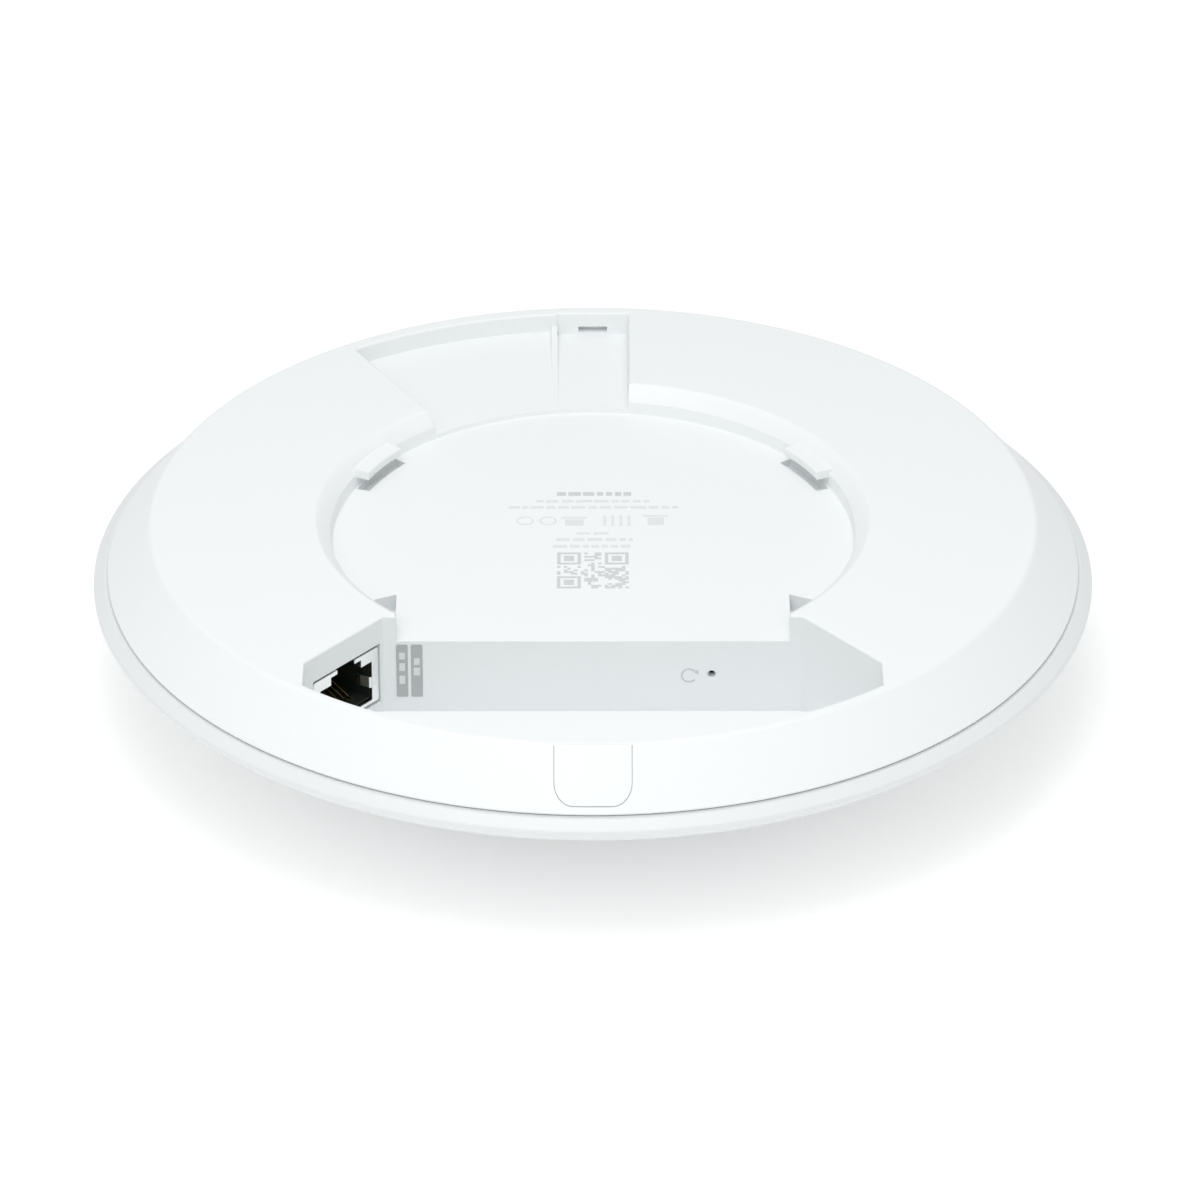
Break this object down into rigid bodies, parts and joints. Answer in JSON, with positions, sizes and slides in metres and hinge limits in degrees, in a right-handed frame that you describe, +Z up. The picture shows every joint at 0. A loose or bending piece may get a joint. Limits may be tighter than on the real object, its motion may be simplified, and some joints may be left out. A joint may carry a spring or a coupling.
{
  "type": "ceiling access point",
  "caption": "Round white ceiling-mounted wireless access point with a domed front cover, a bracket recess and a port channel with a network socket in its rear.",
  "frame": {"origin": "centre of the rear recess floor, where the twist-lock bracket bears", "axes": "+Z up towards the ceiling, out of the rear face; -Y towards the port channel and the cable exit; +Y towards the bracket's release notch"},
  "size_m": [0.16, 0.16, 0.033],
  "materials": {
    "white_plastic": "fine matte moulded texture",
    "cover_plastic": "smooth satin",
    "light_plastic": "translucent satin",
    "circuit_board": "solder mask",
    "aluminium": "plain sheet",
    "shield_metal": "tinned sheet",
    "black_plastic": "moulded",
    "gold": "gold plated",
    "chip_plastic": "moulded",
    "thermal_pad": "soft matte",
    "screw_steel": "plain"
  },
  "bodies": {
    "housing": {"antenna_1": "shield_metal", "antenna_2": "shield_metal", "antenna_3": "shield_metal", "antenna_4": "shield_metal", "bulk_capacitor_1": "aluminium", "bulk_capacitor_2": "aluminium", "flash_chip": "chip_plastic", "front_cover": "cover_plastic", "heat_spreader": "aluminium", "lan_magnetics": "chip_plastic", "light_guide": "light_plastic", "light_ring": "light_plastic", "main_pcb": "circuit_board", "memory_chip_1": "chip_plastic", "memory_chip_2": "chip_plastic", "pcb_screw_1": "screw_steel", "pcb_screw_2": "screw_steel", "pcb_screw_3": "screw_steel", "pcb_screw_4": "screw_steel", "poe_transformer": "black_plastic", "power_inductor": "chip_plastic", "processor_chip": "chip_plastic", "radio_chip_2g": "chip_plastic", "radio_chip_5g": "chip_plastic", "radio_shield_2g": "shield_metal", "radio_shield_5g": "shield_metal", "rear_housing": "white_plastic", "reset_switch_body": "black_plastic", "rj45_contact_1": "gold", "rj45_contact_2": "gold", "rj45_contact_3": "gold", "rj45_contact_4": "gold", "rj45_contact_5": "gold", "rj45_contact_6": "gold", "rj45_contact_7": "gold", "rj45_contact_8": "gold", "rj45_insert": "black_plastic", "rj45_shield": "shield_metal", "status_led_1": "light_plastic", "status_led_2": "light_plastic", "status_led_3": "light_plastic", "status_led_4": "light_plastic", "thermal_pad_2g": "thermal_pad", "thermal_pad_5g": "thermal_pad", "thermal_pad_cpu": "thermal_pad"},
    "exit_tab": {"cable_exit_tab": "white_plastic"},
    "reset_button": {"reset_plunger": "chip_plastic"}
  },
  "joints": [
    {"name": "exit_tab_hinge", "type": "hinge", "parent": "housing", "child": "exit_tab", "pos_m": [0, -0.0708, 0.0045], "axis": [-1, 0, 0], "range_deg": [0, 75]},
    {"name": "reset_press", "type": "slide", "parent": "housing", "child": "reset_button", "axis": [0, 1, 0], "range_m": [0, 0.0003], "stiffness_N_per_m": 400}
  ]
}
